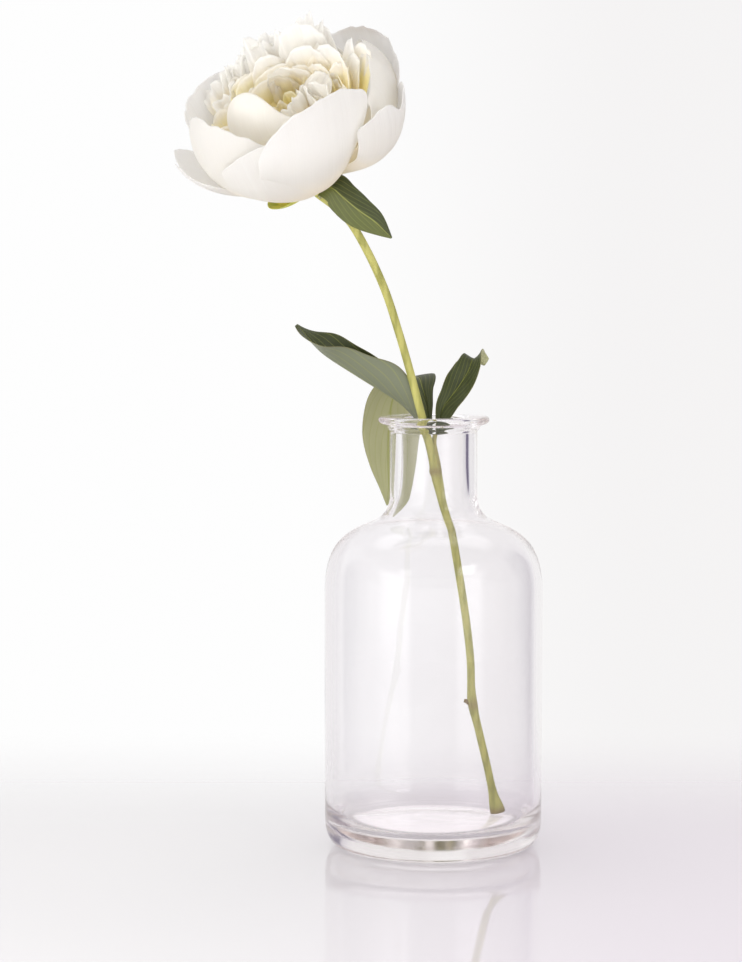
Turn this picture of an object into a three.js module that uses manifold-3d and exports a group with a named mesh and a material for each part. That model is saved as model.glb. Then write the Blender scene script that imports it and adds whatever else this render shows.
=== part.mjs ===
// A double white peony, half open, standing in a clear glass bottle vase.
// Millimetres, +Z up. The origin is the centre of the bottle's flat underside; the flower leans to -X and
// towards -Y, so -Y is the side that the bloom faces.
//
// The bottle is a surface of revolution. The stem is a swept round section with a leaf node in it. Leaves and
// petals are thin blades: a curved sheet given a thickness and closed all round. The petals of one colour are
// fused into one solid, which is cut clear of the solids beside it.
import * as THREE from "three";
import { mergeVertices } from "three/addons/utils/BufferGeometryUtils.js";
import Module from "manifold-3d";

const wasm = await Module();
wasm.setup();

const GAP = 0.3; // clearance between neighbouring solids
const DEG = Math.PI / 180;

// ---------------------------------------------------------------- driving dimensions
const bottle = {
  height: 200.5,
  bodyRadius: 50.6,
  wall: 3.3,
  floorThickness: 10.5,
  footRadius: 41.5, // flat ring that it stands on
  footCorner: 13, // height of the rounding above the foot
  shoulderStart: 118, // top of the straight wall
  neckRadius: 20.2,
  neckStart: 161,
  boreRadius: 15,
  lipRadius: 25.7,
  lipHeight: 3.4,
  segments: 44,
};

const stemRadius = 1.8;

// Centreline of the flower stem, from its cut foot inside the bottle to the underside of the bloom.
const stemLine = [
  [31.5, 14.8, 12],
  [29.3, 13.8, 20],
  [25.9, 11.3, 35],
  [21.9, 8.2, 51.5],
  [18.4, 5.2, 67],
  [17.4, 2.6, 86.5],
  [15.2, 0.2, 105.5],
  [12.2, -2.2, 124.5],
  [8.6, -4.4, 143.5],
  [4.1, -6.4, 160.7],
  [1, -8, 174],
  [-2.6, -10.6, 190],
  [-5.9, -12.2, 201.7],
  [-11.4, -14, 222.4],
  [-16.7, -16.8, 240.7],
  [-22.7, -20, 259],
  [-30.9, -23.8, 277],
  [-38.4, -26.5, 289.6],
  [-44.5, -28, 295.9],
  [-53, -29.6, 302.3],
];

// The bloom's own frame: its base, where the petals join the stem, and the axis that it opens along.
const bloomBase = new THREE.Vector3(-55.3, -32.9, 308.3);
const bloomAxis = new THREE.Vector3(-0.34, -0.43, 0.85).normalize();

const bladeThickness = 0.9; // petals, sepals and leaves

// ---------------------------------------------------------------- small helpers
const smooth = (a, b, x) => {
  const t = Math.min(1, Math.max(0, (x - a) / (b - a)));
  return t * t * (3 - 2 * t);
};
const mix = (a, b, t) => a + (b - a) * t;

// Value of a smooth curve through evenly spaced numbers, at t from 0 to 1 (uniform cubic B-spline, ends held).
function along(values, t) {
  const n = values.length - 1;
  const x = Math.min(n - 1e-9, Math.max(0, t * n));
  const i = Math.floor(x);
  const f = x - i;
  const at = (k) =>
    k < 0 ? 2 * values[0] - values[1] : k > n ? 2 * values[n] - values[n - 1] : values[k];
  const [a, b, c, d] = [at(i - 1), at(i), at(i + 1), at(i + 2)];
  return (
    ((1 - f) ** 3 * a +
      (3 * f ** 3 - 6 * f ** 2 + 4) * b +
      (-3 * f ** 3 + 3 * f ** 2 + 3 * f + 1) * c +
      f ** 3 * d) /
    6
  );
}

// Seeded random numbers from 0 to 1.
function seededDraws(seed) {
  let state = seed >>> 0;
  return () => {
    state = (Math.imul(state, 1664525) + 1013904223) >>> 0;
    return state / 4294967296;
  };
}

function toSolid(geometry) {
  const bare = new THREE.BufferGeometry().setAttribute(
    "position",
    geometry.getAttribute("position"),
  );
  if (geometry.index) bare.setIndex(geometry.index);
  const merged = mergeVertices(bare, 1e-4);
  return new wasm.Manifold(
    new wasm.Mesh({
      numProp: 3,
      vertProperties: new Float32Array(merged.attributes.position.array),
      triVerts: new Uint32Array(merged.index.array),
    }),
  );
}

function toGeometry(solid) {
  const mesh = solid.getMesh();
  const geometry = new THREE.BufferGeometry();
  geometry.setAttribute("position", new THREE.BufferAttribute(mesh.vertProperties, 3));
  geometry.setIndex(new THREE.BufferAttribute(mesh.triVerts, 1));
  geometry.computeVertexNormals();
  return geometry;
}

const joined = (solids) => wasm.Manifold.union(solids);

// The outer skin of a solid's largest body: scraps left loose by a cut are dropped, and a hollow that
// crossing petals seal off is filled.
function largestBody(solid) {
  return solid.decompose().reduce((a, b) => (b.volume() > a.volume() ? b : a));
}

// ---------------------------------------------------------------- shapes
// A closed blade round the sheet point(u, v), u from 0 to 1 along it and v from -1 to 1 across it.
// Both faces are split the same way, so a waved blade never crosses itself. grow makes the blade that much
// larger all round, to cut its neighbours clear of it.
function bladeSolid(point, nu, nv, grow, spreadV = (v) => v) {
  const thickness = bladeThickness + 2 * grow;
  const sheet = [];
  for (let i = 0; i <= nu; i++)
    for (let j = 0; j <= nv; j++) sheet.push(point(i / nu, spreadV((2 * j) / nv - 1)));
  const id = (i, j) => i * (nv + 1) + j;
  const push = (edge, inner) => {
    const outward = sheet[edge].clone().sub(sheet[inner]).normalize();
    sheet[edge].addScaledVector(outward, 2 * grow);
  };
  for (let i = 0; i <= nu; i++) {
    push(id(i, 0), id(i, 1));
    push(id(i, nv), id(i, nv - 1));
  }
  for (let j = 0; j <= nv; j++) {
    push(id(0, j), id(1, j));
    push(id(nu, j), id(nu - 1, j));
  }
  const normals = sheet.map(() => new THREE.Vector3());
  const faces = [];
  for (let i = 0; i < nu; i++)
    for (let j = 0; j < nv; j++) {
      const [a, b, c, d] = [id(i, j), id(i + 1, j), id(i + 1, j + 1), id(i, j + 1)];
      if ((i + j) % 2) faces.push([a, b, c], [a, c, d]);
      else faces.push([a, b, d], [b, c, d]);
    }
  const edge1 = new THREE.Vector3();
  const edge2 = new THREE.Vector3();
  for (const [a, b, c] of faces) {
    edge1.subVectors(sheet[b], sheet[a]);
    edge2.subVectors(sheet[c], sheet[a]);
    edge1.cross(edge2);
    for (const k of [a, b, c]) normals[k].add(edge1);
  }
  const positions = [];
  for (const side of [0.5, -0.5])
    sheet.forEach((p, k) => {
      const q = p.clone().addScaledVector(normals[k].clone().normalize(), side * thickness);
      positions.push(q.x, q.y, q.z);
    });
  const back = sheet.length;
  const index = [];
  for (const [a, b, c] of faces) index.push(a, b, c, back + a, back + c, back + b);
  const wall = (a, b) => index.push(a, back + a, b, b, back + a, back + b);
  for (let i = 0; i < nu; i++) {
    wall(id(i, 0), id(i + 1, 0));
    wall(id(i + 1, nv), id(i, nv));
  }
  for (let j = 0; j < nv; j++) {
    wall(id(0, j + 1), id(0, j));
    wall(id(nu, j), id(nu, j + 1));
  }
  const geometry = new THREE.BufferGeometry();
  geometry.setAttribute("position", new THREE.Float32BufferAttribute(positions, 3));
  geometry.setIndex(index);
  const solid = toSolid(geometry);
  return solid.volume() < 0 ? toSolid(flipped(geometry)) : solid;
}

function flipped(geometry) {
  const index = [...geometry.index.array];
  for (let i = 0; i < index.length; i += 3)
    [index[i + 1], index[i + 2]] = [index[i + 2], index[i + 1]];
  return new THREE.BufferGeometry()
    .setAttribute("position", geometry.getAttribute("position"))
    .setIndex(index);
}

// A round bar along a curve, with radius(t) along it and a flat cap at each end.
function barSolid(curve, radius, sides, steps) {
  const frames = curve.computeFrenetFrames(steps, false);
  const positions = [];
  for (let i = 0; i <= steps; i++) {
    const centre = curve.getPointAt(i / steps);
    const r = radius(i / steps);
    for (let k = 0; k < sides; k++) {
      const a = (2 * Math.PI * k) / sides;
      const p = centre
        .clone()
        .addScaledVector(frames.normals[i], r * Math.cos(a))
        .addScaledVector(frames.binormals[i], r * Math.sin(a));
      positions.push(p.x, p.y, p.z);
    }
  }
  const index = [];
  for (let i = 0; i < steps; i++)
    for (let k = 0; k < sides; k++) {
      const [a, b] = [i * sides + k, i * sides + ((k + 1) % sides)];
      index.push(a, b, a + sides, b, b + sides, a + sides);
    }
  const last = steps * sides;
  for (let k = 1; k < sides - 1; k++) {
    index.push(0, k + 1, k);
    index.push(last, last + k, last + k + 1);
  }
  const geometry = new THREE.BufferGeometry();
  geometry.setAttribute("position", new THREE.Float32BufferAttribute(positions, 3));
  geometry.setIndex(index);
  const solid = toSolid(geometry);
  return solid.volume() < 0 ? toSolid(flipped(geometry)) : solid;
}

const curveThrough = (points) =>
  new THREE.CatmullRomCurve3(points.map((p) => new THREE.Vector3(...p)), false, "centripetal");

// ---------------------------------------------------------------- bottle
function bottleSolid() {
  const b = bottle;
  const inner = b.bodyRadius - b.wall;
  const neckTop = b.height - b.lipHeight;
  const path = new THREE.Path();
  path.moveTo(0, 0);
  path.lineTo(b.footRadius, 0);
  // outside: rounded foot, wall, shoulder, neck, collar and lip
  path.bezierCurveTo(b.footRadius + 5.5, 0, b.bodyRadius, 4.5, b.bodyRadius, b.footCorner);
  path.lineTo(b.bodyRadius, b.shoulderStart);
  path.bezierCurveTo(
    b.bodyRadius,
    b.shoulderStart + 18,
    b.bodyRadius - 5,
    b.shoulderStart + 25,
    b.bodyRadius - 14,
    b.shoulderStart + 30,
  );
  path.bezierCurveTo(
    b.neckRadius + 9,
    b.neckStart - 9.2,
    b.neckRadius,
    b.neckStart - 8,
    b.neckRadius,
    b.neckStart + 3,
  );
  path.lineTo(b.neckRadius, neckTop - 4);
  path.lineTo(b.neckRadius + 0.9, neckTop - 3);
  path.lineTo(b.neckRadius + 1.2, neckTop - 1.6);
  path.bezierCurveTo(
    b.neckRadius + 2,
    neckTop - 0.2,
    b.lipRadius,
    neckTop - 0.6,
    b.lipRadius,
    neckTop + 1.7,
  );
  path.bezierCurveTo(
    b.lipRadius,
    b.height - 0.4,
    b.lipRadius - 1,
    b.height,
    b.lipRadius - 2.2,
    b.height,
  );
  // top of the lip and down the bore
  path.lineTo(b.boreRadius + 2.2, b.height);
  path.quadraticCurveTo(b.boreRadius, b.height, b.boreRadius, b.height - 2.4);
  path.lineTo(b.boreRadius, b.neckStart + 3);
  // inside of the shoulder, the wall, and the floor
  path.bezierCurveTo(
    b.boreRadius,
    b.neckStart - 9.4,
    b.boreRadius + 6,
    b.neckStart - 10.5,
    inner - 13,
    b.shoulderStart + 28.4,
  );
  path.bezierCurveTo(
    inner - 4.4,
    b.shoulderStart + 23.6,
    inner,
    b.shoulderStart + 17,
    inner,
    b.shoulderStart,
  );
  path.lineTo(inner, b.floorThickness + 6);
  path.bezierCurveTo(
    inner,
    b.floorThickness + 2,
    inner - 3,
    b.floorThickness,
    b.footRadius,
    b.floorThickness,
  );
  path.lineTo(0, b.floorThickness);
  const profile = path.getPoints(3);
  profile[0].x = 0;
  profile[profile.length - 1].x = 0;
  const geometry = new THREE.LatheGeometry(profile, b.segments);
  geometry.rotateX(Math.PI / 2);
  const solid = toSolid(geometry);
  return solid.volume() < 0 ? toSolid(flipped(geometry)) : solid;
}

// ---------------------------------------------------------------- stem
function stemSolid(grow) {
  const line = curveThrough(stemLine);
  const length = line.getLength();
  // the foot is a flared heel, the two leaf nodes are slight swellings
  const radius = (t) => {
    const s = t * length;
    const heel = 1.8 * Math.exp(-((s / 8) ** 2));
    const lowNode = 0.5 * Math.exp(-(((s - 56) / 6) ** 2));
    const highNode = 0.6 * Math.exp(-(((s - 166) / 7) ** 2));
    return stemRadius + heel + lowNode + highNode;
  };
  const scar = curveThrough([
    [18.4, 5.2, 65.4],
    [16, 5.2, 66.6],
    [14.6, 5.1, 67],
  ]);
  const stalk = curveThrough(petioleLine);
  const grown = (r) => r + grow;
  const solid = joined([
    barSolid(line, (t) => grown(radius(t)), 8, 44),
    barSolid(scar, (t) => grown(mix(1.7, 0.8, t)), 6, 2),
    barSolid(stalk, (t) => grown(mix(1.3, 1, t)), 6, 8),
  ]);
  return largestBody(solid.subtract(cupSolid(GAP)));
}

// The leaf stalk leaves the upper node and lies along the stem's right side up to the mouth.
const petioleLine = [
  [1.6, -7.6, 171],
  [2.4, -7.2, 177],
  [1.5, -7.6, 184],
  [0.6, -7, 190],
  [1, -6, 194],
];

// ---------------------------------------------------------------- leaves
// A leaf blade: rib holds points of its midrib, sides the direction of its right half at even steps along it,
// fold how far each half is lifted from flat where it leaves the midrib and curl how much further at its
// margin, in degrees, and left and right the widths of the halves.
const leaves = {
  leaf_upper: {
    rib: [
      [-50.2, -32.6, 300],
      [-48.6, -37.6, 303],
      [-45.4, -41.6, 303.6],
      [-41.3, -43.5, 300.3],
      [-34.6, -44.5, 294.8],
      [-27.2, -43.5, 289.6],
      [-19.8, -41, 282.4],
    ],
    sides: [
      [0.6, -0.13, 0.6],
      [0.64, -0.15, 0.74],
      [0.46, -0.08, 0.84],
    ],
    fold: [14, 18, 22],
    curl: [8, 4, 3],
    left: [2.5, 6.8, 9.4, 9, 7.4, 0.6],
    right: [2.5, 4.4, 5.2, 6.8, 5.2, 0.6],
  },
  leaflet_right: {
    rib: [
      [1.5, -6, 194.2],
      [4.3, -2, 204.5],
      [8.3, 1, 209.8],
      [12.6, 5, 215.3],
      [16.2, 8.5, 221],
      [18.6, 12, 226.2],
      [21.5, 16.5, 225.3],
      [24.3, 18, 223.2],
    ],
    sides: [
      [0.78, -0.02, -0.47],
      [0.78, -0.14, -0.3],
      [0.82, -0.17, 0.36],
    ],
    fold: [15, 19, 18],
    curl: [27, 38, 37],
    left: [0.8, 3.4, 6.2, 8.7, 7.4, 5.2, 1],
    right: [1.2, 7, 7.5, 9.3, 7.5, 6.6, 3.6],
  },
  leaflet_left: {
    rib: [
      [0.6, -5.6, 195.6],
      [-3.4, -4.9, 197.6],
      [-8, -5.4, 199.6],
      [-11.8, -5.5, 203.4],
      [-16.4, -6, 207.5],
      [-23.3, -7.5, 212],
      [-35.6, -11, 219.8],
      [-50.7, -14, 229.8],
      [-56, -15, 235],
      [-62.7, -15, 243.3],
    ],
    sides: [
      [0.3, 0.85, 0.4],
      [0.08, 0.95, 0.2],
      [0.1, 0.95, 0.15],
      [0.6, 0.8, -0.12],
    ],
    fold: [10, 44, 48, 0],
    curl: [76, 84, 70, -20],
    left: [1, 8, 16.5, 13, 11, 10.5, 2],
    right: [1, 3, 12, 11.5, 12, 12.5, 0.5],
  },
  leaflet_back: {
    rib: [
      [0.9, -5, 195],
      [-2, -4, 198.5],
      [-3.1, 0, 206.3],
      [-5.1, 4, 213.1],
      [-7, 10, 217.8],
      [-13.5, 21, 215.7],
      [-18.5, 27.5, 207.9],
      [-20.7, 29.5, 193.6],
      [-21, 29.5, 177.8],
      [-20.8, 29, 166.8],
      [-21.4, 28.5, 156.3],
    ],
    sides: [
      [0.92, 0.26, 0.12],
      [0.8, 0.44, 0.06],
      [0.96, 0.19, 0.05],
    ],
    fold: [17, 1, 4],
    curl: [-14, -13, -4],
    left: [1, 7, 12.4, 13.1, 14.4, 9, 2.4],
    right: [1, 2.6, 12, 13.2, 12.7, 11.2, 2.6],
  },
};

const vectorAlong = (vectors, t) =>
  new THREE.Vector3(...[0, 1, 2].map((k) => along(vectors.map((v) => v[k]), t)));

function leafPoint(leaf) {
  const rib = curveThrough(leaf.rib);
  return (u, v) => {
    const tangent = rib.getTangentAt(u);
    const side = vectorAlong(leaf.sides, u);
    side.addScaledVector(tangent, -side.dot(tangent)).normalize();
    const normal = new THREE.Vector3().crossVectors(side, tangent);
    const reach = Math.abs(v) * along(v > 0 ? leaf.right : leaf.left, u);
    const lift = (along(leaf.fold, u) + 0.5 * Math.abs(v) * along(leaf.curl, u)) * DEG;
    return rib
      .getPointAt(u)
      .addScaledVector(side, Math.sign(v) * reach * Math.cos(lift))
      .addScaledVector(normal, reach * Math.sin(lift));
  };
}

const leafSolid = (leaf, grow) => bladeSolid(leafPoint(leaf), 13, 4, grow);

// ---------------------------------------------------------------- bloom
// Unit vectors of the bloom's frame: east points right, north points back, axis points out of the flower.
const east = new THREE.Vector3(1, 0, 0)
  .addScaledVector(bloomAxis, -bloomAxis.x)
  .normalize();
const north = new THREE.Vector3().crossVectors(bloomAxis, east);

function inBloom(right, back, up) {
  return bloomBase
    .clone()
    .addScaledVector(east, right)
    .addScaledVector(north, back)
    .addScaledVector(bloomAxis, up);
}

// A petal is a tongue whose midrib rises from the base: tilts are its angles from the axis, in degrees, evenly
// spaced from root to tip (90 runs outwards, 0 along the axis, negative curls inwards). Across, it is an arc
// that wraps cups degrees each side of the midrib, from root to tip. turn is its place round the axis, twist
// what the midrib turns further on the way to the tip, and side how far one side edge stands out over the
// next petal.
const ribSteps = 24;

function petalPoint(petal) {
  const p = {
    root: 5,
    lift: 0,
    sideTop: 0.6,
    rootWidth: 0.22,
    widest: 0.66,
    notch: 0,
    notchAt: 0,
    notchWidth: 0.2,
    ruffle: 0,
    waves: 2,
    phase: 0,
    twist: 0,
    side: 0,
    ...petal,
  };
  const radii = [p.root];
  const heights = [p.lift];
  for (let k = 0; k < ribSteps; k++) {
    const tilt = along(p.tilts, (k + 0.5) / ribSteps) * DEG;
    radii.push(radii[k] + (p.length / ribSteps) * Math.sin(tilt));
    heights.push(heights[k] + (p.length / ribSteps) * Math.cos(tilt));
  }
  const read = (list, a) => {
    const x = Math.min(ribSteps - 1e-9, Math.max(0, a * ribSteps));
    const i = Math.floor(x);
    return mix(list[i], list[i + 1], x - i);
  };
  return (u, v) => {
    const crown = p.sideTop + (1 - p.sideTop) * Math.sqrt(Math.max(0, 1 - v * v));
    const dip = p.notch * Math.exp(-(((v - p.notchAt) / p.notchWidth) ** 2));
    const a = u * (crown - dip);
    const swell = 1 - (1 - Math.min(1, a / p.widest)) ** 2;
    const width = p.halfWidth * mix(p.rootWidth, 1, swell);
    const cup = along(p.cups, a) * DEG;
    const across = (width / cup) * Math.sin(v * cup);
    const inward = (width / cup) * (1 - Math.cos(v * cup));
    const tilt = along(p.tilts, a) * DEG;
    const frill =
      p.ruffle *
      smooth(0.45, 1, u) *
      (Math.sin(p.waves * Math.PI * v + p.phase) +
        0.5 * Math.sin(2.3 * p.waves * Math.PI * v + 2 * p.phase + 1));
    const out = frill - inward + p.side * v * smooth(0.1, 0.6, a);
    const radius = read(radii, a) + out * Math.cos(tilt);
    const height = read(heights, a) - out * Math.sin(tilt);
    const turn = (p.turn + p.twist * a) * DEG;
    return inBloom(
      radius * Math.cos(turn) - across * Math.sin(turn),
      radius * Math.sin(turn) + across * Math.cos(turn),
      height,
    );
  };
}

// Points near the sides of a petal stand closer together, where its outline turns.
const towardsSides = (v) => Math.sin((Math.PI / 2) * v);

const petalSolid = (petal, grow, nu, nv) =>
  bladeSolid(petalPoint(petal), nu, nv, grow, towardsSides);

// The large outer petals. turn 0 is right, 90 is back, 180 is left and -90 is front.
const guardPetals = [
  // front: left, right, and a lower one that overlaps both
  {
    turn: -132, length: 76, halfWidth: 36, tilts: [86, 60, 9, -36], cups: [63, 57, 62],
    root: 5.4, sideTop: 0.69, twist: -14, side: -2.7,
  },
  {
    turn: -79, length: 83, halfWidth: 30, tilts: [97, 51, 27, -2], cups: [70, 50, 26],
    root: 3.5, sideTop: 0.77, twist: 14, side: -3,
  },
  {
    turn: -92, length: 67, halfWidth: 33, tilts: [98, 54, 35, -16], cups: [60, 50, 58],
    root: 6.1, sideTop: 0.76, side: -4,
  },
  // left: one spread low and one standing
  {
    turn: -177, length: 66.5, halfWidth: 23, tilts: [89, 72, 48, 7], cups: [65, 47, 31],
    root: 5.6, sideTop: 0.65, notch: 0.09, side: -1.5,
  },
  {
    turn: 159, length: 71, halfWidth: 33, tilts: [90, 54, 8, 14], cups: [60, 55, 44],
    root: 3.7, sideTop: 0.78, twist: -13,
  },
  // back
  {
    turn: 121, length: 68, halfWidth: 30, tilts: [90, 54, 11, 1], cups: [60, 46, 41],
    root: 5.1, sideTop: 0.67, twist: -16,
  },
  {
    turn: 84, length: 69, halfWidth: 32, tilts: [90, 58, 15, 3], cups: [60, 46, 34],
    root: 4.3, sideTop: 0.74,
  },
  // right: a tall one behind, one rolled in at its tip, and one low outside
  {
    turn: 45, length: 78, halfWidth: 35, tilts: [91, 66, 31, -8], cups: [62, 43, 32],
    root: 5.3, sideTop: 0.74, twist: -4,
  },
  {
    turn: 2, length: 81, halfWidth: 34, tilts: [83, 72, 19, -50], cups: [60, 51, 59],
    root: 6.3, sideTop: 0.89, twist: 13, side: 1.9,
  },
  {
    turn: -8, length: 67, halfWidth: 24, tilts: [87, 88, 23, 18], cups: [80, 45, 56],
    root: 7.9, sideTop: 0.8, notch: 0.12, twist: -14, side: 2.3,
  },
];

const hubRadius = 7;

function hub(radius, from, to, sides = 16) {
  const line = new THREE.LineCurve3(inBloom(0, 0, from), inBloom(0, 0, to));
  return barSolid(line, () => radius, sides, 1);
}

const guardSolid = (grow) =>
  largestBody(
    joined([
      hub(hubRadius + grow, -1.2 - grow, 3 + grow),
      ...guardPetals.map((petal) => petalSolid(petal, grow, 7, 6)),
    ]),
  );

// The ruffled middle: rings of narrow petals round a domed core, taller towards the back.
const ruffleRings = [
  { count: 8, root: 9, length: 51, halfWidth: 13, tilts: [55, 30, 10, 14] },
  { count: 7, root: 7, length: 53, halfWidth: 11, tilts: [40, 20, 8, 18] },
  { count: 4, root: 4, length: 52, halfWidth: 10, tilts: [24, 10, 6, 22] },
  { count: 2, root: 2, length: 48, halfWidth: 9, tilts: [8, 6, 4, 16] },
];

function rufflePetals() {
  const draw = seededDraws(7);
  return ruffleRings.flatMap((ring, r) =>
    Array.from({ length: ring.count }, (_, k) => {
      const turn = (360 * (k + 0.5 * (r % 2))) / ring.count + 14 * (draw() - 0.5);
      const backness = 0.5 + 0.5 * Math.sin((turn - 12) * DEG);
      const lean = 12 * (draw() - 0.5);
      return {
        turn,
        root: ring.root,
        lift: 4,
        length: ring.length * mix(0.8, 1.44, backness) * mix(0.93, 1.07, draw()),
        halfWidth: ring.halfWidth * mix(0.85, 1.2, draw()),
        tilts: ring.tilts.map((t) => t + lean),
        cups: [60, 42, 36],
        sideTop: 0.72,
        rootWidth: 0.35,
        widest: 0.85,
        notch: 0.12 * draw(),
        notchAt: draw() - 0.5,
        ruffle: 1.1,
        waves: 1.4,
        phase: 6.28 * draw(),
        twist: 24 * (draw() - 0.5),
      };
    }),
  );
}

// One broad petal, rolled inwards at its tip, stands before the ruffles on the left of the front.
const rolledPetal = {
  turn: -122, length: 60, halfWidth: 22, tilts: [32, 19, 13, -75], cups: [60, 53, 66],
  root: 10.9, sideTop: 0.61, twist: -10, side: -3.4,
};

const coreRadius = 11;

function innerSolid() {
  const dome = new THREE.SphereGeometry(coreRadius, 12, 6);
  const centre = inBloom(0, 0, coreRadius);
  dome.translate(centre.x, centre.y, centre.z);
  const solid = joined([
    toSolid(dome),
    ...rufflePetals().map((petal) => petalSolid(petal, 0, 4, 4)),
    petalSolid(rolledPetal, 0, 6, 6),
  ]);
  return largestBody(solid.subtract(guardSolid(GAP)));
}

// ---------------------------------------------------------------- calyx
const sepals = [
  { turn: -150, length: 27 },
  { turn: -66, length: 14 },
  { turn: 14, length: 18 },
  { turn: 80, length: 22 },
  { turn: 150, length: 22 },
].map((sepal) => ({
  root: 4, lift: -3, halfWidth: 9, tilts: [102, 88, 64], cups: [60, 46, 40], sideTop: 0.5, ...sepal,
}));

function cupSolid(grow) {
  const profile = [
    [0, -9.4 - grow],
    [2.6 + grow, -9.4 - grow],
    [4.2 + grow, -7.4 - grow],
    [7.4 + grow, -4.4 - grow],
    [8.2 + grow, -2.6],
    [7.4 + grow, -1.6 + grow],
    [0, -1.6 + grow],
  ].map(([r, z]) => new THREE.Vector2(r, z));
  const cup = new THREE.LatheGeometry(profile, 16);
  cup.rotateX(Math.PI / 2);
  cup.applyMatrix4(new THREE.Matrix4().makeBasis(east, north, bloomAxis));
  cup.translate(bloomBase.x, bloomBase.y, bloomBase.z);
  const solid = toSolid(cup);
  return solid.volume() < 0 ? toSolid(flipped(cup)) : solid;
}

function calyxSolid(grow) {
  const solid = joined([
    cupSolid(grow),
    ...sepals.map((sepal) => petalSolid(sepal, grow, 4, 4)),
  ]);
  return largestBody(solid.subtract(guardSolid(GAP)));
}

// ---------------------------------------------------------------- assembly
const finishes = {
  glass: { color: 0xf4f6f8, roughness: 0.05, metalness: 0, transparent: true, opacity: 0.35 },
  stalk: { color: 0xa9a35a, roughness: 0.6, metalness: 0 },
  leaf: { color: 0x4c5f34, roughness: 0.55, metalness: 0 },
  petal: { color: 0xf6f2ec, roughness: 0.7, metalness: 0 },
  heart: { color: 0xf5e6b4, roughness: 0.7, metalness: 0 },
  calyx: { color: 0xc6cf6a, roughness: 0.6, metalness: 0 },
};

const flower = new THREE.Group();

function add(name, solid, finish) {
  const mesh = new THREE.Mesh(
    toGeometry(solid),
    new THREE.MeshStandardMaterial(finishes[finish]),
  );
  mesh.name = name;
  flower.add(mesh);
}

add("vase", bottleSolid(), "glass");
add("stem", stemSolid(0), "stalk");
add("guard_petals", guardSolid(0), "petal");
add("inner_petals", innerSolid(), "heart");
add("calyx", calyxSolid(0), "calyx");

// Each leaf is cut clear of the stem, the calyx and the leaves before it.
let taken = joined([stemSolid(GAP), calyxSolid(GAP), guardSolid(GAP)]);
for (const [name, leaf] of Object.entries(leaves)) {
  add(name, largestBody(leafSolid(leaf, 0).subtract(taken)), "leaf");
  taken = joined([taken, leafSolid(leaf, GAP)]);
}

export default flower;
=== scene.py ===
import math

import bpy
import numpy as np
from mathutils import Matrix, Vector


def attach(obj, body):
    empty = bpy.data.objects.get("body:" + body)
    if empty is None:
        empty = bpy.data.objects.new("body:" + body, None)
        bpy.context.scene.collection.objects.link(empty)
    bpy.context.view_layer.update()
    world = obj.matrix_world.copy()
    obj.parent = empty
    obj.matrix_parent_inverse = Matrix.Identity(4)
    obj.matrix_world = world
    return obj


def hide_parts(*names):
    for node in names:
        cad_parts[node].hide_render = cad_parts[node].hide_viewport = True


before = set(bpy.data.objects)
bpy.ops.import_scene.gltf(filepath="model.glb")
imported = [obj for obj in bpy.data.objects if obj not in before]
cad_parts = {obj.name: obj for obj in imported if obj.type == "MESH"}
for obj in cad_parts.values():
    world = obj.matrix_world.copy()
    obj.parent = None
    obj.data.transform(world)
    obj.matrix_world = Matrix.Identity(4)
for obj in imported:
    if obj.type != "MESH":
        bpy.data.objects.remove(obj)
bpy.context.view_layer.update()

mm = 0.001  # every length below is in millimetres


def srgb(red, green, blue):
    # linear colour from the 0 to 255 values of a colour picker
    parts = [((c / 255 + 0.055) / 1.055) ** 2.4 if c > 10 else c / 255 / 12.92 for c in (red, green, blue)]
    return (*parts, 1.0)


def smoothStep(low, high, x):
    # 0 below low, 1 above high, and 3t2 - 2t3 between them
    t = np.clip((x - low) / (high - low), 0, 1)
    return t * t * (3 - 2 * t)


def mix(a, b, t):
    return a + (b - a) * t


def along(values, t):
    # uniform cubic B-spline through evenly spaced numbers, its ends held, read at t from 0 to 1
    values = np.asarray(values, float)
    last = len(values) - 1
    x = np.clip(np.asarray(t, float) * last, 0, last - 1e-9)
    i = np.floor(x).astype(int)
    f = x - i
    held = np.concatenate([[2 * values[0] - values[1]], values, [2 * values[-1] - values[-2]]])
    weights = [(1 - f) ** 3, 3 * f**3 - 6 * f**2 + 4, -3 * f**3 + 3 * f**2 + 3 * f + 1, f**3]
    return sum(w * held[i + k] for k, w in enumerate(weights)) / 6


def curveThrough(points, fractions):
    # centripetal Catmull-Rom curve through the points, and its unit tangents, at fractions of its length
    p = np.asarray(points, float)
    p = np.vstack([2 * p[0] - p[1], p, 2 * p[-1] - p[-2]])
    steps = np.sqrt(np.linalg.norm(np.diff(p, axis=0), axis=1))[:, None]
    before, here, after = steps[:-2], steps[1:-1], steps[2:]
    p0, p1, p2, p3 = p[:-3], p[1:-2], p[2:-1], p[3:]
    m1 = ((p1 - p0) / before - (p2 - p0) / (before + here) + (p2 - p1) / here) * here
    m2 = ((p2 - p1) / here - (p3 - p1) / (here + after) + (p3 - p2) / after) * here
    s = np.linspace(0, 1, 30, endpoint=False)[:, None, None]
    dense = (
        (2 * s**3 - 3 * s**2 + 1) * p1 + (s**3 - 2 * s**2 + s) * m1
        + (-2 * s**3 + 3 * s**2) * p2 + (s**3 - s**2) * m2
    )
    dense = np.vstack([dense.transpose(1, 0, 2).reshape(-1, 3), p[-2]])
    run = np.concatenate([[0], np.cumsum(np.linalg.norm(np.diff(dense, axis=0), axis=1))])
    at = np.asarray(fractions, float) * run[-1]
    place = np.stack([np.interp(at, run, dense[:, k]) for k in range(3)], -1)
    slope = np.gradient(dense, run, axis=0)
    tangent = np.stack([np.interp(at, run, slope[:, k]) for k in range(3)], -1)
    return place, tangent / np.linalg.norm(tangent, axis=-1, keepdims=True), run[-1]


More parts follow.
